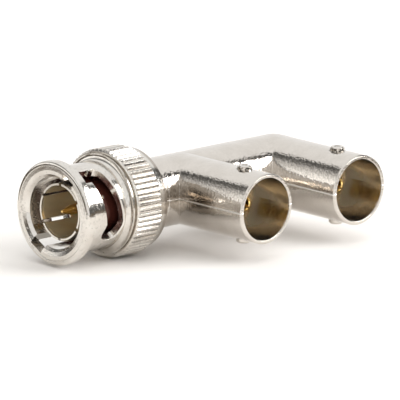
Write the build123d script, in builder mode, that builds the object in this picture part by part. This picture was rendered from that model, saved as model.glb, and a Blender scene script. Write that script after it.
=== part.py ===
from build123d import *
from math import cos, degrees, radians, sqrt
import os

# Bayonet coaxial F adapter: one plug on the stem, two parallel jacks at right angles to it.
# The origin is the centre of the plug's outer contact at its tip, the plane where a mating
# jack bottoms. The stem runs along +X, both jacks open towards -Y and +Z is up. Millimetres.

# Layout of the casting
jack_1_x = 22.3
jack_spacing = 17.3
jack_reach = 16.7
barrel_wall = 0.58
neck_step = 0.08
neck_length = 3.6
edge_break = 0.2

# Jack interface
mouth_step = 0.16
mouth_depth = 3.5
mating_depth = 8.35
lug_r = 1.0
lug_height = 0.5
lug_setback = 4.4
lug_break = 0.18
lug_dimple_r = 0.45
lug_dimple_depth = 0.2

# Centre conductor and its insulation
pin_r = 0.675
pin_tip_x = 0.3
pin_nose = 0.22
pin_nose_length = 1.7
pin_shank_step = 0.175
pin_collar_step = 0.3
pin_collar_setback = 1.8
pin_tail_setback = 1.9
rod_r = 0.8
rod_spigot_r = 0.45
spigot_length = 1.8
socket_wall = 0.35
socket_recess = 4.1
socket_bore_depth = 5.6
socket_slit = 0.28
socket_slit_depth = 3.4
eye_r = 1.35
cross_bore_r = 2.6
stem_bore_r = 2.4

# Plug body and its slotted outer contact
contact_r = 4.05
contact_wall = 0.55
contact_tip_wall = 0.26
contact_tip_drop = 0.18
contact_taper = 0.4
contact_relief = 0.05
contact_relief_lead = 0.3
contact_root_step = 0.2
contact_slots = 6
contact_slot = 0.5
contact_slot_depth = 4.9
seat_flange_length = 0.8
shank_r = 3.6
shank_wall = 0.9
shank_press_length = 4.4
insulator_setback = 0.8

# Gasket and the two washers behind the seat flange
gasket_length = 1.4
gasket_squeeze = 0.25
spring_washer_t = 0.2
spring_washer_bow = 0.45
thrust_washer_t = 0.3

# Coupling nut
nut_front_x = -1.4
nut_rear_length = 1.45
waist_wall = 1.05
flange_rise = 1.15
flange_length = 1.5
flange_round = 0.55
face_line_inset = 0.68
face_line_depth = 0.08
countersink_step = 0.95
countersink_depth = 0.15
bevel_step = 0.4
bevel_depth = 0.55
collar_rise = 0.92
collar_setback = 0.1
collar_sweep_r = 0.8
collar_length = 0.55
collar_top_length = 0.2
collar_break = 0.08
collar_groove_depth = 0.25
knurl_rise = 1.45
knurl_setback = 0.6
knurl_length = 4.15
knurl_count = 60
knurl_depth = 0.24
knurl_groove = 0.5
knurl_chamfer = 0.3
rear_drop = 0.52
lip_length = 0.75
rear_bore_step = 0.15

# Bayonet slots of the nut, seen as the path of the cutter's centre round the waist
slot_break = 0.16
slot_angle = 30.5
slot_floor_step = 0.1
slot_play = 0.62
ramp_rise = 1.4
lock_drop = 0.55
ramp_arc = 7.6
lock_arc = 8.9

# Rear caps
cap_outer_y = 4.0
cap_t = 1.0

# Clearances
seat_gap = 0.02
spin_gap = 0.04
socket_fit = 0.015
contact_fit = 0.01
barrel_fit = 0.1
washer_gap = 0.25
flange_gap = 0.2
lip_fit = 0.1
lip_end_gap = 0.06
lug_gap = 0.12
lock_preload = 0.1
cut_over = 0.05

# Radii that follow from the fits, from the pin outwards
socket_bore_r = pin_r + socket_fit
socket_r = socket_bore_r + socket_wall
pin_shank_r = pin_r + pin_shank_step
pin_collar_r = pin_shank_r + pin_collar_step
contact_bore_r = contact_r - contact_wall
contact_tip_r = contact_r - contact_tip_drop
contact_root_r = contact_r + contact_root_step
shank_bore_r = shank_r - shank_wall
jack_bore_r = contact_r + contact_fit
mouth_r = jack_bore_r + mouth_step
tube_r = mouth_r + barrel_wall
neck_r = tube_r - neck_step
lug_tip = tube_r + lug_height
nut_bore_r = tube_r + barrel_fit
washer_r = nut_bore_r - washer_gap
seat_flange_r = nut_bore_r - flange_gap
lip_r = shank_r + lip_fit
rear_bore_r = nut_bore_r + rear_bore_step
bevel_r = nut_bore_r + bevel_step
countersink_r = nut_bore_r + countersink_step
waist_r = nut_bore_r + waist_wall
slot_floor_r = waist_r + slot_floor_step
slot_r = lug_r + lug_gap
flange_r = waist_r + flange_rise
face_line_r = flange_r - face_line_inset
collar_r = waist_r + collar_rise
knurl_r = waist_r + knurl_rise
rear_r = knurl_r - rear_drop

# Places along the stem that follow, from the mated jack's mouth backwards
relief_x = contact_slot_depth - contact_relief_lead
gasket_x = mating_depth - gasket_squeeze
seat_flange_x = gasket_x + gasket_length
insulator_face_x = seat_flange_x - insulator_setback
pin_collar_x = insulator_face_x + pin_collar_setback
spring_x = seat_flange_x + seat_flange_length
thrust_x = spring_x + spring_washer_bow + spring_washer_t
lip_x = thrust_x + thrust_washer_t + spin_gap
stem_front_x = lip_x + lip_length + lip_end_gap
neck_end_x = stem_front_x + neck_length
shank_end_x = stem_front_x + shank_press_length
pin_tail_x = shank_end_x - pin_tail_setback
lock_x = mating_depth - lug_setback + lock_preload
ramp_end_x = lock_x + lock_drop
ramp_start_x = ramp_end_x - ramp_rise
collar_x = ramp_end_x + slot_r + slot_play + slot_break + collar_setback
collar_end_x = collar_x + collar_length
knurl_front_x = collar_end_x + knurl_setback
knurl_rear_x = knurl_front_x + knurl_length
nut_rear_x = knurl_rear_x + nut_rear_length
jack_2_x = jack_1_x + jack_spacing

jack_positions = {"jack_1": jack_1_x, "jack_2": jack_2_x}
stem_plane = Plane.XY


def jack_plane(x):
    """Local x runs from the stem's axis out of the jack's mouth."""
    return Plane(origin=(x, 0, 0), x_dir=(0, -1, 0), z_dir=(0, 0, 1))


def turned(label, plane, outline):
    """A piece turned about the plane's x axis, from (along, radius) points."""
    with BuildPart() as piece:
        with BuildSketch(plane):
            with BuildLine():
                Polyline(*outline, close=True)
            make_face()
        revolve(axis=Axis(plane.origin, plane.x_dir))
    piece.part.label = label
    return piece


def radial_plane(angle):
    """Plane through the stem's axis whose y runs outwards at this angle from +Z to -Y."""
    across = Vector(0, 0, 1).rotate(Axis.X, angle)
    return Plane(origin=(0, 0, 0), x_dir=(1, 0, 0), z_dir=Vector(1, 0, 0).cross(across))


def save(part):
    export_step(part, f"parts/{part.label}.step")


def slot_span(arc):
    """Front and rear edge of the slot, along X, this far round the waist from the entry."""
    steps = 40
    path = [(ramp_arc * i / steps, ramp_start_x + (ramp_end_x - ramp_start_x) * i / steps) for i in range(steps + 1)]
    for i in range(1, steps + 1):
        path.append((ramp_arc + (lock_arc - ramp_arc) * i / steps, ramp_end_x + (lock_x - ramp_end_x) * i / steps))
    reach = [(x, sqrt(slot_r**2 - (arc - s) ** 2)) for s, x in path if abs(arc - s) < slot_r]
    return min(x - half for x, half in reach), max(x + half for x, half in reach) + slot_play


def bayonet_cutter(entry_angle):
    """One slot: the axial entry from the mouth, and the ramp that climbs to the lock."""
    inner_r = nut_bore_r - washer_gap
    outer_r = waist_r + cut_over
    corner_r = waist_r - slot_break
    flare = outer_r - corner_r
    # The round ends need closer sections than the straight ramp
    round_end = [slot_r * cos(radians(turn)) for turn in (14, 28, 42, 56, 70, 90)]
    ramp_steps = 18
    arcs = [-reach for reach in round_end]
    arcs += [lock_arc * i / ramp_steps for i in range(1, ramp_steps)]
    arcs += [lock_arc + reach for reach in reversed(round_end)]
    with BuildPart() as ramp:
        for arc in arcs:
            front, rear = slot_span(arc)
            with BuildSketch(radial_plane(entry_angle + degrees(arc / waist_r))):
                with BuildLine():
                    Polyline(
                        (front, inner_r),
                        (rear, inner_r),
                        (rear, corner_r),
                        (rear + flare, outer_r),
                        (front - flare, outer_r),
                        (front, corner_r),
                        close=True,
                    )
                make_face()
        loft(ruled=True)
    across = radial_plane(entry_angle)
    with BuildPart() as entry:
        with BuildSketch(Plane(origin=(nut_front_x - 1, 0, 0), x_dir=across.y_dir, z_dir=(1, 0, 0))):
            with Locations(((inner_r + slot_floor_r) / 2, 0)):
                Rectangle(slot_floor_r - inner_r, 2 * slot_r)
        extrude(amount=ramp_start_x - nut_front_x + 1)
    return ramp.part, entry.part


os.makedirs("parts", exist_ok=True)

# Casting: the stem meets jack 2's leg in an elbow that is domed outside and creased inside,
# and jack 1 branches off square
with BuildPart() as stem:
    with BuildSketch(Plane.YZ.offset(stem_front_x)):
        Circle(tube_r)
    extrude(amount=jack_2_x - stem_front_x)
    with BuildSketch(stem_plane):
        with BuildLine():
            Polyline(
                (stem_front_x, neck_r - edge_break),
                (stem_front_x + edge_break, neck_r),
                (neck_end_x, neck_r),
                (neck_end_x + tube_r - neck_r, tube_r),
                (neck_end_x + tube_r - neck_r, tube_r + 1),
                (stem_front_x, tube_r + 1),
                close=True,
            )
        make_face()
    revolve(axis=Axis.X, mode=Mode.SUBTRACT)

with BuildPart() as elbow_leg:
    with BuildSketch(jack_plane(jack_2_x)):
        with BuildLine():
            Polyline((-tube_r, 0), (jack_reach, 0), (jack_reach, tube_r), (0, tube_r))
            RadiusArc((0, tube_r), (-tube_r, 0), -tube_r)
        make_face()
    revolve(axis=Axis((jack_2_x, 0, 0), (0, -1, 0)))

with BuildPart() as branch_leg:
    with BuildSketch(Plane.XZ):
        with Locations((jack_1_x, 0)):
            Circle(tube_r)
    extrude(amount=jack_reach)

with BuildPart() as adapter_body:
    add(stem.part)
    add(elbow_leg.part)
    add(branch_leg.part)
    for x in jack_positions.values():
        # Bayonet lugs above and below each barrel
        with BuildSketch(Plane.XY.offset(-lug_tip)):
            with Locations((x, lug_setback - jack_reach)):
                Circle(lug_r)
        extrude(amount=2 * lug_tip)
    lug_faces = adapter_body.faces().filter_by(Axis.Z)
    chamfer(lug_faces.edges().filter_by(GeomType.CIRCLE), lug_break)
    for x in jack_positions.values():
        # Dimples in the lug tops
        lug_plane = Plane(origin=(x, lug_setback - jack_reach, 0), x_dir=(0, 0, 1), z_dir=(1, 0, 0))
        with BuildSketch(lug_plane):
            for side in (-1, 1):
                with BuildLine():
                    Polyline(
                        (side * lug_tip, 0),
                        (side * (lug_tip - lug_dimple_depth), 0),
                        (side * lug_tip, lug_dimple_r),
                        close=True,
                    )
                make_face()
        revolve(axis=Axis(lug_plane.origin, lug_plane.x_dir), mode=Mode.SUBTRACT)
    for x in jack_positions.values():
        # Mouth, bore for a mating plug and bore for the insulation, open to the back
        with BuildSketch(jack_plane(x)):
            with BuildLine():
                Polyline(
                    (-cap_outer_y - tube_r, 0),
                    (-cap_outer_y - tube_r, cross_bore_r),
                    (jack_reach - mating_depth, cross_bore_r),
                    (jack_reach - mating_depth, jack_bore_r),
                    (jack_reach - mouth_depth, mouth_r),
                    (jack_reach - edge_break / 2, mouth_r),
                    (jack_reach, mouth_r + edge_break / 2),
                    (jack_reach + 1, mouth_r + edge_break / 2),
                    (jack_reach + 1, 0),
                    close=True,
                )
            make_face()
        revolve(axis=Axis((x, 0, 0), (0, -1, 0)), mode=Mode.SUBTRACT)
        with BuildSketch(jack_plane(x)):
            with BuildLine():
                Polyline(
                    (jack_reach - edge_break, tube_r),
                    (jack_reach, tube_r - edge_break),
                    (jack_reach, tube_r + 1),
                    (jack_reach - edge_break, tube_r + 1),
                    close=True,
                )
            make_face()
        revolve(axis=Axis((x, 0, 0), (0, -1, 0)), mode=Mode.SUBTRACT)
    with BuildSketch(Plane.YZ.offset(stem_front_x)):
        Circle(shank_r + seat_gap)
    extrude(amount=shank_end_x - stem_front_x + seat_gap, mode=Mode.SUBTRACT)
    with BuildSketch(Plane.YZ.offset(stem_front_x)):
        Circle(stem_bore_r)
    extrude(amount=jack_2_x - stem_front_x, mode=Mode.SUBTRACT)
adapter_body.part.label = "adapter_body"
save(adapter_body.part)

# Plug body: the fingers of the outer contact with a relief behind them, the root under the
# gasket, the seat flange and the shank pressed into the stem
with BuildPart() as plug_body:
    with BuildSketch(stem_plane):
        with BuildLine():
            Polyline(
                (0, contact_tip_r - contact_tip_wall),
                (0, contact_tip_r),
                (contact_taper, contact_r),
                (relief_x, contact_r),
                (relief_x, contact_r - contact_relief),
                (gasket_x, contact_r - contact_relief),
                (gasket_x, contact_root_r),
                (seat_flange_x, contact_root_r),
                (seat_flange_x, seat_flange_r),
                (seat_flange_x + seat_flange_length, seat_flange_r),
                (seat_flange_x + seat_flange_length, shank_r),
                (shank_end_x, shank_r),
                (shank_end_x, shank_bore_r),
                (insulator_face_x, shank_bore_r),
                (insulator_face_x, contact_bore_r),
                (contact_taper, contact_bore_r),
                close=True,
            )
        make_face()
    revolve(axis=Axis.X)
    for i in range(contact_slots):
        with BuildSketch(Plane(origin=(0, 0, 0), x_dir=radial_plane(i * 360 / contact_slots).y_dir, z_dir=(1, 0, 0))):
            with Locations(((contact_bore_r + contact_r) / 2, 0)):
                Rectangle(2 * (contact_r - contact_bore_r), contact_slot)
        extrude(amount=contact_slot_depth, mode=Mode.SUBTRACT)
plug_body.part.label = "plug_body"
save(plug_body.part)

# Insulation of the plug: the pin goes in from the back up to its collar
plug_insulator = turned(
    "plug_insulator",
    stem_plane,
    [
        (insulator_face_x, pin_shank_r + seat_gap),
        (insulator_face_x, shank_bore_r - seat_gap),
        (shank_end_x, shank_bore_r - seat_gap),
        (shank_end_x, pin_collar_r + seat_gap),
        (pin_collar_x - seat_gap, pin_collar_r + seat_gap),
        (pin_collar_x - seat_gap, pin_shank_r + seat_gap),
    ],
)
save(plug_insulator.part)

# Plug pin with a rounded nose, a collar and a cup for the conductor's spigot
with BuildPart() as plug_pin:
    with BuildSketch(stem_plane):
        with BuildLine():
            RadiusArc((pin_tip_x, 0), (pin_tip_x + pin_nose, pin_nose), pin_nose)
            Polyline(
                (pin_tip_x + pin_nose, pin_nose),
                (pin_tip_x + pin_nose_length, pin_r),
                (insulator_face_x, pin_r),
                (insulator_face_x, pin_shank_r),
                (pin_collar_x, pin_shank_r),
                (pin_collar_x, pin_collar_r),
                (pin_tail_x, pin_collar_r),
                (pin_tail_x, rod_spigot_r + seat_gap),
                (pin_tail_x - spigot_length - seat_gap, rod_spigot_r + seat_gap),
                (pin_tail_x - spigot_length - seat_gap, 0),
                (pin_tip_x, 0),
            )
        make_face()
    revolve(axis=Axis.X)
plug_pin.part.label = "plug_pin"
save(plug_pin.part)

# Centre conductor: one rod from the pin's cup through both contact eyes
centre_conductor = turned(
    "centre_conductor",
    stem_plane,
    [
        (pin_tail_x - spigot_length, 0),
        (pin_tail_x - spigot_length, rod_spigot_r),
        (pin_tail_x + seat_gap, rod_spigot_r),
        (pin_tail_x + seat_gap, rod_r),
        (jack_2_x + eye_r, rod_r),
        (jack_2_x + eye_r, 0),
    ],
)
save(centre_conductor.part)

# Insulating tubes round the conductor, one up to jack 1 and one between the jacks
tube_ends = {
    "stem_tube": (shank_end_x + 2 * seat_gap, jack_1_x - cross_bore_r),
    "link_tube": (jack_1_x + cross_bore_r, jack_2_x - cross_bore_r),
}
for label, (front, rear) in tube_ends.items():
    tube = turned(
        label,
        stem_plane,
        [
            (front, rod_r + seat_gap),
            (front, stem_bore_r - seat_gap),
            (rear, stem_bore_r - seat_gap),
            (rear, rod_r + seat_gap),
        ],
    )
    save(tube.part)

for name, x in jack_positions.items():
    plane = jack_plane(x)
    axis = Axis((x, 0, 0), (0, -1, 0))
    eye_end = eye_r + seat_gap

    # Insulator that fills the bore behind the mating plane
    insulator = turned(
        f"{name}_insulator",
        plane,
        [
            (eye_end, socket_r + seat_gap),
            (eye_end, cross_bore_r - seat_gap),
            (jack_reach - mating_depth, cross_bore_r - seat_gap),
            (jack_reach - mating_depth, socket_r + seat_gap),
        ],
    )
    save(insulator.part)

    # Socket contact: slit tube in front, an eye round the conductor behind
    tip = jack_reach - socket_recess
    with BuildPart() as contact:
        with BuildSketch(plane):
            with BuildLine():
                Polyline(
                    (0, 0),
                    (0, socket_r),
                    (tip - socket_slit / 2, socket_r),
                    (tip, socket_r - socket_slit / 2),
                    (tip, socket_bore_r + socket_slit / 2),
                    (tip - socket_slit / 2, socket_bore_r),
                    (tip - socket_bore_depth, socket_bore_r),
                    (tip - socket_bore_depth, 0),
                    close=True,
                )
            make_face()
        revolve(axis=axis)
        with BuildSketch(Plane.XY.offset(-eye_r)):
            with Locations((x, 0)):
                Circle(eye_r)
        extrude(amount=2 * eye_r)
        with BuildSketch(Plane.YZ.offset(x - 2 * eye_r)):
            Circle(rod_r + seat_gap)
        extrude(amount=4 * eye_r, mode=Mode.SUBTRACT)
        with BuildSketch(Plane.XZ.offset(tip - socket_slit_depth)):
            with Locations((x, 0)):
                Rectangle(socket_slit, 3 * socket_r, rotation=45)
        extrude(amount=socket_slit_depth, mode=Mode.SUBTRACT)
    contact.part.label = f"{name}_contact"
    save(contact.part)

    # Cap pressed into the hole through which the contact is joined to the conductor
    cap = turned(
        f"{name}_rear_cap",
        plane,
        [
            (-cap_outer_y, 0),
            (-cap_outer_y, cross_bore_r - seat_gap - edge_break),
            (edge_break - cap_outer_y, cross_bore_r - seat_gap),
            (cap_t - cap_outer_y, cross_bore_r - seat_gap),
            (cap_t - cap_outer_y, 0),
        ],
    )
    save(cap.part)

# Gasket that the mouth of a mated jack presses on
gasket = turned(
    "gasket",
    stem_plane,
    [
        (gasket_x, contact_root_r + seat_gap),
        (gasket_x, washer_r),
        (seat_flange_x, washer_r),
        (seat_flange_x, contact_root_r + seat_gap),
    ],
)
save(gasket.part)

# Bowed spring washer between the seat flange and the thrust washer
bow_r = (washer_r**2 + spring_washer_bow**2) / (2 * spring_washer_bow)
with BuildPart() as spring_washer:
    with BuildSketch(Plane.XZ.offset(-washer_r)):
        with Locations((spring_x + bow_r, 0)):
            Circle(bow_r)
            Circle(bow_r - spring_washer_t, mode=Mode.SUBTRACT)
    extrude(amount=2 * washer_r)
    with BuildSketch(Plane.YZ.offset(spring_x)):
        Circle(washer_r)
        Circle(shank_r + spin_gap, mode=Mode.SUBTRACT)
    extrude(amount=spring_washer_bow + spring_washer_t, mode=Mode.INTERSECT)
spring_washer.part.label = "spring_washer"
save(spring_washer.part)

thrust_washer = turned(
    "thrust_washer",
    stem_plane,
    [
        (thrust_x, shank_r + spin_gap),
        (thrust_x, washer_r),
        (thrust_x + thrust_washer_t, washer_r),
        (thrust_x + thrust_washer_t, shank_r + spin_gap),
    ],
)
save(thrust_washer.part)

# Coupling nut: flange, slotted waist, collar and straight knurl, with a lip inside at the back
groove_over = knurl_groove / 2 * (1 + cut_over / knurl_depth)
with BuildPart() as coupling_nut:
    with BuildSketch(stem_plane):
        with BuildLine():
            round_start = (nut_front_x, flange_r - flange_round)
            round_end = (nut_front_x + flange_round, flange_r)
            RadiusArc(round_start, round_end, flange_round)
            Polyline(
                round_end,
                (nut_front_x + flange_length - edge_break, flange_r),
                (nut_front_x + flange_length, flange_r - edge_break),
                (nut_front_x + flange_length, waist_r),
                (collar_x, waist_r),
            )
            RadiusArc((collar_x, waist_r), (collar_end_x, collar_r), -collar_sweep_r)
            Polyline(
                (collar_end_x, collar_r),
                (collar_end_x + collar_top_length, collar_r),
                (collar_end_x + collar_top_length + collar_break, collar_r - collar_break),
                (collar_end_x + collar_top_length + collar_break, collar_r - collar_groove_depth),
                (knurl_front_x - knurl_chamfer / 2, collar_r - collar_groove_depth),
                (knurl_front_x - knurl_chamfer / 2, knurl_r - knurl_chamfer),
                (knurl_front_x + knurl_chamfer / 2, knurl_r),
                (knurl_rear_x - knurl_chamfer / 2, knurl_r),
                (knurl_rear_x + knurl_chamfer / 2, knurl_r - knurl_chamfer),
                (nut_rear_x, rear_r),
                (nut_rear_x, rear_bore_r),
                (lip_x + lip_length, rear_bore_r),
                (lip_x + lip_length, lip_r),
                (lip_x, lip_r),
                (lip_x, nut_bore_r),
                (nut_front_x + bevel_depth, nut_bore_r),
                (nut_front_x + countersink_depth, bevel_r),
                (nut_front_x, countersink_r),
                (nut_front_x, face_line_r - face_line_depth),
                (nut_front_x + face_line_depth, face_line_r),
                (nut_front_x, face_line_r + face_line_depth),
                round_start,
            )
        make_face()
    revolve(axis=Axis.X)
    with BuildSketch(Plane.YZ.offset(knurl_front_x - knurl_chamfer)):
        with PolarLocations(knurl_r, knurl_count):
            Polygon(
                (-knurl_depth, 0),
                (cut_over, groove_over),
                (cut_over, -groove_over),
                align=None,
            )
    extrude(amount=knurl_rear_x - knurl_front_x + 2 * knurl_chamfer, mode=Mode.SUBTRACT)
    for angle in (slot_angle, slot_angle + 180):
        ramp_cutter, entry_cutter = bayonet_cutter(angle)
        add(ramp_cutter, mode=Mode.SUBTRACT)
        add(entry_cutter, mode=Mode.SUBTRACT)
coupling_nut.part.label = "coupling_nut"
save(coupling_nut.part)
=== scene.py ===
import math

import bpy
from mathutils import Matrix, Vector


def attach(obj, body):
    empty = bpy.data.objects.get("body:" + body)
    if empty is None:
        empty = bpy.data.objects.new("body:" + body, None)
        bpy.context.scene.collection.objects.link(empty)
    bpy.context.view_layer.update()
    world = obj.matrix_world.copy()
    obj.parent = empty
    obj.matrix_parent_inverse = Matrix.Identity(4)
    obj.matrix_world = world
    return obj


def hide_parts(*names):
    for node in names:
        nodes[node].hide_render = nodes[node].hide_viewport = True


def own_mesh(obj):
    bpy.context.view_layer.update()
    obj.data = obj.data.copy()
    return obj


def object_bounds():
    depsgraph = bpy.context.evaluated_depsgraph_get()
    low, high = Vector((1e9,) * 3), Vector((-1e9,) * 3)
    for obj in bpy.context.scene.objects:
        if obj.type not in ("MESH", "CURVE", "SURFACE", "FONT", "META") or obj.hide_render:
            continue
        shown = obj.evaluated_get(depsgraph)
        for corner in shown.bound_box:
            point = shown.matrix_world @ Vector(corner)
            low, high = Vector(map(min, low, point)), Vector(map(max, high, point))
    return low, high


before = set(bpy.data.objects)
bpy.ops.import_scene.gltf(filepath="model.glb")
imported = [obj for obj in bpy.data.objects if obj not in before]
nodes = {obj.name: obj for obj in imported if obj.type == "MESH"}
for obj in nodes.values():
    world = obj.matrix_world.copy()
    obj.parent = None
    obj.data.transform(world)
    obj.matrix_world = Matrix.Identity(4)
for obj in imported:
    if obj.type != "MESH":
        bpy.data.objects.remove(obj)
cad_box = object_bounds()

# ---------------------------------------------------------------- settings of the finishes
# Places are metres in the part's frame: x along the stem, y along the barrels, z up. A pair is the
# stretch over which a finish sets in or fades out. A pair with two numbers after it is a remap: a
# stretch of the input and what its ends become. Noise is scale, detail and roughness.

# Casting
JACK_XS = (0.0223, 0.0396)
BORE_R = (0.0044, 0.0045)
BORE_MOUTH_Y = (-0.0165, -0.0163)
BORE_END_Y = (-0.0075, -0.007)
BORE_RELIEF = 0.08
BORE_BLUR = 0.13

FLANK_TOP = ((0.0028, 0.004), 1.0, 0.15)
FLANK_BOTTOM = ((-0.0016, -0.0004), 0.15, 1.0)
SAND_NOISE = (3300.0, 1.0, 0.5)
SAND_SHARE = ((0.42, 0.62), 0.0, 0.3)

LUG_Y = -0.0123
LUG_BOTTOM_Z = (0.0043, 0.0044)
LUG_FOOT_IN_R = (0.00094, 0.001)
LUG_FOOT_OUT_R = (0.00103, 0.0012)
LUG_FOOT_Z = (0.00515, 0.0053)
DIMPLE_IN_R = (0.00015, 0.0003)
DIMPLE_OUT_R = (0.00042, 0.00052)
LUG_SHADE_NOISE = (3600.0, 1.0, 0.5)
LUG_SHADE_BREAKS = ((0.42, 0.56), 1.0, 0.2)

CORNER_X = (0.0172, 0.0186)
CORNER_STEM_Y = (-0.0036, -0.0022)
CORNER_MOUTH_Y = (-0.0145, -0.0085)
CORNER_TOP_Z = (0.0016, 0.003)
CORNER_BOTTOM_Z = (-0.001, 0.0)
CORNER_BREAKS = ((0.35, 0.62), 0.9, 0.5)

FLASH_Z = (0.00003, 0.00013)
FLASH_HEIGHT = 0.00006
FLASH_BLUR = 0.25

# Coupling nut
KNURL_ROOT_R = (0.0072, 0.00734)
KNURL_FRONT_X = (0.0077, 0.0079)
KNURL_REAR_X = (0.0118, 0.0121)
KNURL_BLUR = 0.05
KNURL_RELIEF = 0.35
KNURL_SHADE_SHARE = 0.8
SCUFF_NOISE = (2300.0, 2.0, 0.6)
SCUFF_SHARE = ((0.56, 0.66), 0.0, 0.28)
SCUFF_BLUR = ((0.56, 0.66), 0.0, 0.12)
NUT_REAR = ((0.0126, 0.0129), 0.0, 0.6)
TOOL_MARKS = 9000.0

# The plug's outer contact
CONTACT_BORE_R = (0.0036, 0.0037)
CONTACT_OUTSIDE_R = (0.0037, 0.0038)
CONTACT_BORE_X = (0.0001, 0.0003)
CONTACT_FRONT_X = (0.0, 0.0003)
CONTACT_SHADE_X = (0.0022, 0.0034)
CONTACT_NOISE = (3000.0, 3.0, 0.6)
CONTACT_MOTTLE = (0.3, 0.7)
CONTACT_BLUR = ((0.3, 0.75), 0.16, 0.26)
INSIDE_DULLNESS = 0.35
OUTSIDE_SHADE_DULLNESS = 0.7

# All metal
MOTTLE_NOISE = (420.0, 3.0, 0.5)
MOTTLE = (0.35, 0.7)
GRAIN_SOFTNESS = (1.0, 0.5)
GRAIN_BLUR = (0.3, 0.75)
BLUR_BELOW, BLUR_ABOVE = 0.03, 0.05
MARKS_ACROSS = 40.0
MARKS_NOISE = (1.0, 2.0, 0.6)
MARKS_DEPTH = 0.5

# Plastic and rubber
SOFT_NOISE = (2600.0, 4.0, 0.6)
SOFT_MOTTLE = (0.3, 0.7)
SOFT_BLUR_BELOW, SOFT_BLUR_ABOVE = 0.05, 0.08
GLOW_DEPTH = 0.0004

# Radii of edges and depths of grain
SHARP_EDGE = 0.00006
CAST_EDGE = 0.0001
GOLD_EDGE = 0.00004
CAST_GRAIN = 0.00003
TURNED_GRAIN = 0.000009
CAP_GRAIN = 0.000004
CONTACT_GRAIN = 0.000003
PLASTIC_GRAIN = 0.000002
DRAWN_GRAIN = 0.000001
GOLD_GRAIN = 0.0000006

# ---------------------------------------------------------------- colours
NICKEL = (0.72, 0.675, 0.62, 1.0)
NICKEL_DARK = (0.67, 0.625, 0.57, 1.0)
NICKEL_TURNED = (0.76, 0.73, 0.68, 1.0)
BORE_SHADE_TONE = (0.57, 0.51, 0.42, 1.0)
SAND_TONE = (0.36, 0.33, 0.29, 1.0)
LUG_SHADE_TONE = (0.1, 0.09, 0.075, 1.0)
CORNER_SHADE_TONE = (0.22, 0.18, 0.14, 1.0)
FLASH_HIGHLIGHT_TONE = (0.97, 0.94, 0.89, 1.0)
KNURL_SHADE_TONE = (0.16, 0.14, 0.12, 1.0)
SCUFF_TONE = (0.4, 0.37, 0.33, 1.0)
REAR_SHADE_TONE = (0.3, 0.25, 0.2, 1.0)
FINGER_RIM_HIGHLIGHT = (0.8, 0.76, 0.69, 1.0)
FINGER_INSIDE_SHADE_AND_GLOW = (0.66, 0.56, 0.38, 1.0)
FINGER_SHADE_TONE = (0.075, 0.02, 0.014, 1.0)
GOLD = (0.9, 0.64, 0.26, 1.0)
GOLD_DARK = (0.82, 0.56, 0.2, 1.0)
COPPER = (0.8, 0.56, 0.3, 1.0)
COPPER_DARK = (0.7, 0.48, 0.26, 1.0)
STEEL = (0.5, 0.49, 0.47, 1.0)
STEEL_DARK = (0.42, 0.41, 0.4, 1.0)
PLASTIC = (0.82, 0.8, 0.74, 1.0)
PLASTIC_DARK = (0.76, 0.73, 0.66, 1.0)
GASKET = (0.24, 0.05, 0.03, 1.0)
GASKET_DARK = (0.18, 0.035, 0.022, 1.0)
PAPER = (0.9, 0.88, 0.86, 1.0)
DARK_ROOM = (0.1, 0.08, 0.06, 1.0)
WHITE = (1.0, 1.0, 1.0, 1.0)
WARM_WHITE = (1.0, 0.99, 0.97, 1.0)


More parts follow.
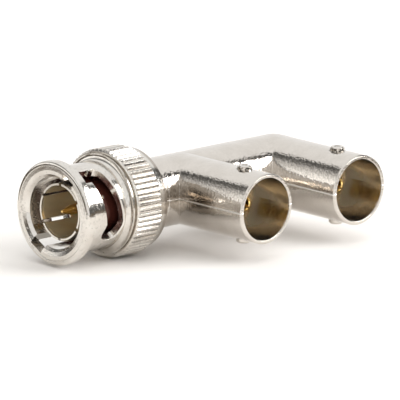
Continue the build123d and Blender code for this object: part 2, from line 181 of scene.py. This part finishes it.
# ---------------------------------------------------------------- node helpers
class Graph:
    """Builds the shader nodes of a material or a world."""

    def __init__(self, owner):
        owner.use_nodes = True
        self.owner = owner
        self.tree = owner.node_tree
        self.tree.nodes.clear()

    def node(self, kind, **settings):
        made = self.tree.nodes.new(kind)
        for key, value in settings.items():
            setattr(made, key, value)
        return made

    def link(self, source, target):
        self.tree.links.new(source, target)

    def value(self, socket, value):
        if isinstance(value, bpy.types.NodeSocket):
            self.link(value, socket)
        else:
            socket.default_value = value

    def math(self, operation, *values):
        made = self.node("ShaderNodeMath", operation=operation)
        for socket, value in zip(made.inputs, values):
            self.value(socket, value)
        return made.outputs[0]

    def product(self, first, *others):
        for other in others:
            first = self.math("MULTIPLY", first, other)
        return first

    def radius(self, a, b):
        return self.math("SQRT", self.math("ADD", self.product(a, a), self.product(b, b)))

    def place(self):
        return self.node("ShaderNodeTexCoord").outputs["Object"]

    def coordinates(self):
        split = self.node("ShaderNodeSeparateXYZ")
        self.link(self.place(), split.inputs[0])
        return split.outputs

    def mapped(self, scale):
        made = self.node("ShaderNodeMapping")
        self.link(self.place(), made.inputs["Vector"])
        made.inputs["Scale"].default_value = scale
        return made.outputs[0]

    def noise(self, vector, scale, detail, rough):
        made = self.node("ShaderNodeTexNoise")
        self.link(vector, made.inputs["Vector"])
        made.inputs["Scale"].default_value = scale
        made.inputs["Detail"].default_value = detail
        made.inputs["Roughness"].default_value = rough
        return made.outputs["Fac"]

    def remap(self, value, stretch, to_low, to_high):
        made = self.node("ShaderNodeMapRange", clamp=True)
        self.link(value, made.inputs["Value"])
        for key, number in zip(("From Min", "From Max", "To Min", "To Max"), (*stretch, to_low, to_high)):
            made.inputs[key].default_value = number
        return made.outputs[0]

    def rise(self, value, stretch):
        return self.remap(value, stretch, 0.0, 1.0)

    def fall(self, value, stretch):
        return self.remap(value, stretch, 1.0, 0.0)

    def lower(self, mask, share):
        """One where the mask is nought, this share where it is one."""
        return self.remap(mask, (0.0, 1.0), 1.0, share)

    def blend(self, factor, a, b):
        made = self.node("ShaderNodeMix", data_type="RGBA")
        self.value(made.inputs["Factor"], factor)
        self.value(made.inputs["A"], a)
        self.value(made.inputs["B"], b)
        return made.outputs["Result"]

    def reach(self, vector, axis):
        """How far a direction or a place reaches along an axis."""
        made = self.node("ShaderNodeVectorMath", operation="DOT_PRODUCT")
        self.link(vector, made.inputs[0])
        made.inputs[1].default_value = axis
        return made.outputs["Value"]

    def relief(self, shader, height, bevel=None):
        """Bump of a height in metres, over edges rounded by the bevel's radius."""
        bump = self.node("ShaderNodeBump")
        bump.inputs["Strength"].default_value = 1.0
        bump.inputs["Distance"].default_value = 1.0
        self.link(height, bump.inputs["Height"])
        if bevel:
            rounded = self.node("ShaderNodeBevel", samples=6)
            rounded.inputs["Radius"].default_value = bevel
            self.link(rounded.outputs[0], bump.inputs["Normal"])
        self.link(bump.outputs[0], shader.inputs["Normal"])

    def finish(self, shader, output="ShaderNodeOutputMaterial"):
        self.link(shader.outputs[0], self.node(output).inputs["Surface"])
        return self.owner


# ---------------------------------------------------------------- finishes
def bore_mask(g, axis_x):
    """One inside the barrel round this axis, nought outside."""
    along, side, up = g.coordinates()
    radius = g.radius(g.math("SUBTRACT", along, axis_x), up)
    deep = g.product(g.rise(side, BORE_MOUTH_Y), g.fall(side, BORE_END_Y))
    return g.product(g.fall(radius, BORE_R), deep)


def lug_shade_mask(g, axis_x):
    """One in the corner round the upper lug's foot and on the wall of the dimple in its top, where shade is
    painted.
    """
    along, side, up = g.coordinates()
    radius = g.radius(g.math("SUBTRACT", along, axis_x), g.math("SUBTRACT", side, LUG_Y))
    foot = g.product(g.rise(radius, LUG_FOOT_IN_R), g.fall(radius, LUG_FOOT_OUT_R), g.fall(up, LUG_FOOT_Z))
    dimple = g.product(g.fall(radius, DIMPLE_OUT_R), g.rise(radius, DIMPLE_IN_R))
    return g.product(g.math("MAXIMUM", foot, dimple), g.rise(up, LUG_BOTTOM_Z))


def corner_shade_mask(g, fine):
    """Towards one in the corner between the stem and the first barrel, where shade is painted."""
    along, side, up = g.coordinates()
    across = g.product(g.fall(along, CORNER_X), g.fall(side, CORNER_STEM_Y), g.rise(side, CORNER_MOUTH_Y))
    upright = g.product(across, g.fall(up, CORNER_TOP_Z), g.rise(up, CORNER_BOTTOM_Z))
    return g.product(upright, g.remap(fine, *CORNER_BREAKS))


# A wear-and-shade function takes a metal's graph, the noise of its grain, its colour, roughness and height,
# and gives back the last three, with wear and painted shade added.
def nut_wear_and_shade(g, fine, colour, blur, height):
    """Painted shade in the knurl's grooves, scuffs, and painted shade on the rear face."""
    along, side, up = g.coordinates()
    in_knurl = g.product(g.rise(along, KNURL_FRONT_X), g.fall(along, KNURL_REAR_X))
    # Painted shade in the knurl's grooves, darker towards their roots
    groove_shade = g.product(g.fall(g.radius(side, up), KNURL_ROOT_R), in_knurl)
    blur = g.math("ADD", blur, g.product(in_knurl, KNURL_BLUR))
    height = g.product(height, g.lower(in_knurl, KNURL_RELIEF))
    colour = g.blend(g.product(groove_shade, KNURL_SHADE_SHARE), colour, KNURL_SHADE_TONE)

    scuff = g.noise(g.place(), *SCUFF_NOISE)
    colour = g.blend(g.remap(scuff, *SCUFF_SHARE), colour, SCUFF_TONE)
    blur = g.math("ADD", blur, g.remap(scuff, *SCUFF_BLUR))

    # Painted shade on the nut's rear face, in the gap towards the stem
    colour = g.blend(g.remap(along, *NUT_REAR), colour, REAR_SHADE_TONE)
    return colour, blur, height


def cast_wear_and_shade(g, fine, colour, blur, height):
    """Rougher bores with painted shade, sandy flanks, painted shade at the lugs and in the stem's corner, and
    the mould's flash with a painted highlight.
    """
    place = g.place()
    up = g.coordinates()[2]
    in_bore = g.math("MAXIMUM", *[bore_mask(g, axis_x) for axis_x in JACK_XS])
    outside = g.math("SUBTRACT", 1.0, in_bore)
    # Painted shade: the barrels' insides are coloured darker olive-brown; they are also rougher and less
    # grainy there
    colour = g.blend(in_bore, colour, BORE_SHADE_TONE)
    height = g.product(height, g.lower(in_bore, BORE_RELIEF))
    blur = g.math("ADD", blur, g.product(in_bore, BORE_BLUR))

    # Tumbling has rubbed the tops and undersides smooth
    sand = g.remap(g.noise(place, *SAND_NOISE), *SAND_SHARE)
    sand = g.product(sand, g.remap(up, *FLANK_TOP), g.remap(up, *FLANK_BOTTOM), outside)
    colour = g.blend(sand, colour, SAND_TONE)

    # Painted shade in the crease round each upper lug's foot and in its dimple, broken up by noise
    lug_shade = g.math("MAXIMUM", *[lug_shade_mask(g, axis_x) for axis_x in JACK_XS])
    lug_shade = g.product(lug_shade, g.remap(g.noise(place, *LUG_SHADE_NOISE), *LUG_SHADE_BREAKS))
    colour = g.blend(lug_shade, colour, LUG_SHADE_TONE)

    # Painted shade, broken up by the grain, in the corner between the stem and the first barrel
    colour = g.blend(corner_shade_mask(g, fine), colour, CORNER_SHADE_TONE)

    # What grinding has left of the flash along the parting plane: a raised, rougher ridge, coloured lighter
    # as a painted highlight
    ridge = g.product(g.fall(g.math("ABSOLUTE", up), FLASH_Z), outside)
    height = g.math("ADD", height, g.product(ridge, FLASH_HEIGHT))
    colour = g.blend(ridge, colour, FLASH_HIGHLIGHT_TONE)
    blur = g.math("ADD", blur, g.product(ridge, FLASH_BLUR))
    return colour, blur, height


def metal(name, tone, dark_tone, roughness, grain, grain_depth, bevel=SHARP_EDGE, turning=None, wear_and_shade=None):
    """Metal, plated or bare. Grain and turning are noise scales, wear_and_shade is one of the functions
    above, which add wear and painted shade.
    """
    g = Graph(bpy.data.materials.new(name))
    place = g.place()
    fine = g.noise(place, grain, *GRAIN_SOFTNESS)
    broad = g.noise(place, *MOTTLE_NOISE)
    shader = g.node("ShaderNodeBsdfPrincipled")
    shader.inputs["Metallic"].default_value = 1.0
    colour = g.blend(g.rise(broad, MOTTLE), tone, dark_tone)
    blur = g.remap(fine, GRAIN_BLUR, roughness - BLUR_BELOW, roughness + BLUR_ABOVE)
    height = g.product(fine, grain_depth)
    if turning:
        # Fine tool marks round the stem's axis
        marks = g.noise(g.mapped((turning, MARKS_ACROSS, MARKS_ACROSS)), *MARKS_NOISE)
        height = g.math("ADD", height, g.product(marks, grain_depth * MARKS_DEPTH))
    if wear_and_shade:
        colour, blur, height = wear_and_shade(g, fine, colour, blur, height)
    g.link(colour, shader.inputs["Base Color"])
    g.link(blur, shader.inputs["Roughness"])
    g.relief(shader, height, bevel)
    return g.finish(shader)


def contact_metal(name):
    """Nickel fingers with a painted highlight at the tip, painted olive shade and golden reflected light
    inside, and painted red-brown shade outside further back.
    """
    g = Graph(bpy.data.materials.new(name))
    along, side, up = g.coordinates()
    radius = g.radius(side, up)
    fine = g.noise(g.place(), *CONTACT_NOISE)
    inside = g.product(g.fall(radius, CONTACT_BORE_R), g.rise(along, CONTACT_BORE_X))
    shaded_outside = g.product(g.rise(radius, CONTACT_OUTSIDE_R), g.rise(along, CONTACT_SHADE_X))
    shader = g.node("ShaderNodeBsdfPrincipled")
    colour = g.blend(g.rise(fine, CONTACT_MOTTLE), NICKEL, NICKEL_DARK)
    # Painted highlight: the fingers' front rim is coloured lighter
    colour = g.blend(g.fall(along, CONTACT_FRONT_X), colour, FINGER_RIM_HIGHLIGHT)
    # Painted olive shade with golden reflected light inside the fingers, which are also duller there
    colour = g.blend(inside, colour, FINGER_INSIDE_SHADE_AND_GLOW)
    # Painted shade: dark red-brown on the fingers' outside further back, inside the nut
    colour = g.blend(shaded_outside, colour, FINGER_SHADE_TONE)
    g.link(colour, shader.inputs["Base Color"])
    dulled = g.math("ADD", g.product(inside, INSIDE_DULLNESS), g.product(shaded_outside, OUTSIDE_SHADE_DULLNESS))
    g.link(g.math("SUBTRACT", 1.0, dulled), shader.inputs["Metallic"])
    g.link(g.remap(fine, *CONTACT_BLUR), shader.inputs["Roughness"])
    g.relief(shader, g.product(fine, CONTACT_GRAIN), SHARP_EDGE)
    return g.finish(shader)


def dull(name, colour, other, roughness, subsurface=0.0):
    """Plastic or rubber."""
    g = Graph(bpy.data.materials.new(name))
    fine = g.noise(g.place(), *SOFT_NOISE)
    shader = g.node("ShaderNodeBsdfPrincipled")
    blur = g.remap(fine, SOFT_MOTTLE, roughness - SOFT_BLUR_BELOW, roughness + SOFT_BLUR_ABOVE)
    g.link(g.blend(g.rise(fine, SOFT_MOTTLE), colour, other), shader.inputs["Base Color"])
    g.link(blur, shader.inputs["Roughness"])
    shader.inputs["Subsurface Weight"].default_value = subsurface
    shader.inputs["Subsurface Scale"].default_value = GLOW_DEPTH
    g.relief(shader, g.product(fine, PLASTIC_GRAIN))
    return g.finish(shader)


# ---------------------------------------------------------------- materials
cast = metal("nickel_cast", NICKEL, NICKEL_DARK, 0.08, 3000.0, CAST_GRAIN, bevel=CAST_EDGE, wear_and_shade=cast_wear_and_shade)
turned = metal(
    "nickel_turned", NICKEL_TURNED, NICKEL_DARK, 0.14, 3000.0, TURNED_GRAIN, turning=TOOL_MARKS, wear_and_shade=nut_wear_and_shade
)
inner = contact_metal("nickel_contact")
cap = metal("nickel_cap", NICKEL, NICKEL_DARK, 0.2, 3600.0, CAP_GRAIN)
gold = metal("gold", GOLD, GOLD_DARK, 0.17, 4000.0, GOLD_GRAIN, bevel=GOLD_EDGE)
rod = metal("copper_alloy", COPPER, COPPER_DARK, 0.25, 4000.0, DRAWN_GRAIN)
spring = metal("spring_steel", STEEL, STEEL_DARK, 0.28, 4000.0, DRAWN_GRAIN)
white = dull("dielectric", PLASTIC, PLASTIC_DARK, 0.42, subsurface=0.2)
rubber = dull("silicone", GASKET, GASKET_DARK, 0.5)

FINISH = {
    "adapter_body": cast,
    "coupling_nut": turned,
    "plug_body": inner,
    "plug_insulator": white,
    "plug_pin": gold,
    "centre_conductor": rod,
    "stem_tube": white,
    "link_tube": white,
    "jack_1_insulator": white,
    "jack_1_contact": gold,
    "jack_1_rear_cap": cap,
    "jack_2_insulator": white,
    "jack_2_contact": gold,
    "jack_2_rear_cap": cap,
    "gasket": rubber,
    "spring_washer": spring,
    "thrust_washer": spring,
}
for name, finish in FINISH.items():
    for slot in nodes[name].material_slots:
        slot.material = finish

# ---------------------------------------------------------------- spring washer
# The bowed washer, pressed flat between the flange and the thrust washer as the nut is pulled forward, is
# copied into its own object on the adapter body and the original hidden; here it stays bowed
bowed = bpy.data.objects.new("spring_washer_bowed", nodes["spring_washer"].data.copy())
bpy.context.scene.collection.objects.link(bowed)
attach(bowed, "adapter")
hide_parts("spring_washer")
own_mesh(bowed)

# ---------------------------------------------------------------- floor
# White paper under the part. Further left and right of the camera's view the floor is dark in
# reflections and plain white to the camera.
ASIDE = Vector((0.721, -0.693, 0.0)).normalized()
UP = Vector((0.0, 0.0, 1.0))
PAPER_MIDDLE = 0.018
PAPER_EDGE = (0.055, 0.082)
FLOOR_SIZE = 4.0

bpy.ops.mesh.primitive_plane_add(size=FLOOR_SIZE, location=(0.0, 0.0, cad_box[0][2]))
floor = bpy.context.object
floor.name = "floor"
g = Graph(bpy.data.materials.new("floor"))
position = g.node("ShaderNodeNewGeometry").outputs["Position"]
off_middle = g.math("ABSOLUTE", g.math("SUBTRACT", g.reach(position, ASIDE), PAPER_MIDDLE))
paper = g.fall(off_middle, PAPER_EDGE)
lit = g.node("ShaderNodeBsdfDiffuse")
g.link(g.blend(paper, DARK_ROOM, PAPER), lit.inputs["Color"])
glow = g.node("ShaderNodeEmission")
glow.inputs["Color"].default_value = WHITE
path = g.node("ShaderNodeLightPath")
direct = g.math("MAXIMUM", path.outputs["Is Camera Ray"], path.outputs["Is Transmission Ray"])
g.link(g.product(direct, g.math("SUBTRACT", 1.0, paper)), glow.inputs["Strength"])
both = g.node("ShaderNodeAddShader")
g.link(lit.outputs[0], both.inputs[0])
g.link(glow.outputs[0], both.inputs[1])
floor.data.materials.append(g.finish(both))

# ---------------------------------------------------------------- world
# A white room: a band of wall straight ahead and behind, a low panel to the left and a ceiling. The
# rest is dim. Pairs are stretches of a direction's reach to the side or upwards.
BAND_RIGHT = (0.6, 0.65)
BAND_LEFT = (-0.64, -0.54)
BAND_GLOW = ((-0.6, 0.3), 0.86, 1.02)
PANEL_EDGE = (-0.8, -0.68)
PANEL_FOOT = (0.06, 0.18)
PANEL_GLOW = ((0.25, 0.62), 1.45, 0.25)
CEILING_GLOW = ((0.8, 0.88), 0.0, 0.55)
DIM = 0.1

world = bpy.data.worlds.new("studio")
bpy.context.scene.world = world
g = Graph(world)
towards = g.node("ShaderNodeTexCoord").outputs["Generated"]
aside = g.reach(towards, ASIDE)
height = g.reach(towards, UP)
in_band = g.product(g.fall(aside, BAND_RIGHT), g.rise(aside, BAND_LEFT))
band = g.product(in_band, g.remap(aside, *BAND_GLOW))
in_panel = g.product(g.fall(aside, PANEL_EDGE), g.rise(height, PANEL_FOOT))
panel = g.product(in_panel, g.remap(height, *PANEL_GLOW))
ceiling = g.remap(height, *CEILING_GLOW)
level = g.math("ADD", g.math("ADD", band, panel), g.math("ADD", ceiling, DIM))
sky = g.node("ShaderNodeBackground")
sky.inputs["Color"].default_value = WARM_WHITE
g.link(level, sky.inputs["Strength"])
backdrop = g.node("ShaderNodeBackground")
backdrop.inputs["Color"].default_value = WHITE
backdrop.inputs["Strength"].default_value = 1.0
rays = g.node("ShaderNodeLightPath")
seen = g.math("MAXIMUM", rays.outputs["Is Camera Ray"], rays.outputs["Is Transmission Ray"])
seen = g.math("MAXIMUM", seen, g.product(rays.outputs["Is Glossy Ray"], in_band))
both = g.node("ShaderNodeMixShader")
g.link(seen, both.inputs[0])
g.link(sky.outputs[0], both.inputs[1])
g.link(backdrop.outputs[0], both.inputs[2])
g.finish(both, "ShaderNodeOutputWorld")


# ---------------------------------------------------------------- lamp
def towards_sky(azimuth_deg, elevation_deg):
    """The direction at this bearing and height over the horizon."""
    azimuth, elevation = math.radians(azimuth_deg), math.radians(elevation_deg)
    flat = math.cos(elevation)
    return Vector((flat * math.cos(azimuth), flat * math.sin(azimuth), math.sin(elevation)))


LAMP_AIM = Vector((0.022, -0.006, 0.0))
LAMP_DISTANCE = 0.8
LAMP_SIZE = (0.62, 0.34)
LAMP_RADIANCE = 2.6

lamp_way = towards_sky(-48.0, 28.5)
lamp = bpy.data.lights.new("softbox_right", "AREA")
lamp.shape = "RECTANGLE"
lamp.size, lamp.size_y = LAMP_SIZE
lamp.energy = LAMP_RADIANCE * math.pi * LAMP_SIZE[0] * LAMP_SIZE[1] * math.pi
lamp_object = bpy.data.objects.new("softbox_right", lamp)
bpy.context.scene.collection.objects.link(lamp_object)
lamp_object.location = LAMP_AIM + LAMP_DISTANCE * lamp_way
lamp_object.rotation_euler = (-lamp_way).to_track_quat("-Z", "Y").to_euler()

# ---------------------------------------------------------------- camera
# Fitted to outline points of the photograph
CAMERA_WAY = (-133.901, 13.159)
CAMERA_ROLL = math.radians(0.846)
CAMERA_DISTANCE = 1.8
CAMERA_SHIFT = (0.002603, -0.00168)
CAMERA_ORIGIN = Vector((0.0223, 0.0, 0.0))
FOCAL_PX = 13387.6
PICTURE_PX = 400.0
SENSOR = 36.0

out_dir = towards_sky(*CAMERA_WAY)
level_right = (-out_dir).cross(UP).normalized()
level_up = level_right.cross(-out_dir)
right = math.cos(CAMERA_ROLL) * level_right + math.sin(CAMERA_ROLL) * level_up
up = -math.sin(CAMERA_ROLL) * level_right + math.cos(CAMERA_ROLL) * level_up

camera = bpy.data.cameras.new("camera")
camera.sensor_width = SENSOR
camera.lens = FOCAL_PX / PICTURE_PX * SENSOR
camera.clip_start = 0.01
camera.clip_end = 50.0
camera_object = bpy.data.objects.new("camera", camera)
bpy.context.scene.collection.objects.link(camera_object)
camera_object.matrix_world = Matrix((right, up, out_dir)).transposed().to_4x4()
camera_object.location = (
    CAMERA_ORIGIN + CAMERA_DISTANCE * out_dir + CAMERA_SHIFT[0] * right + CAMERA_SHIFT[1] * up
)
bpy.context.scene.camera = camera_object

bpy.context.scene.view_settings.view_transform = "Standard"
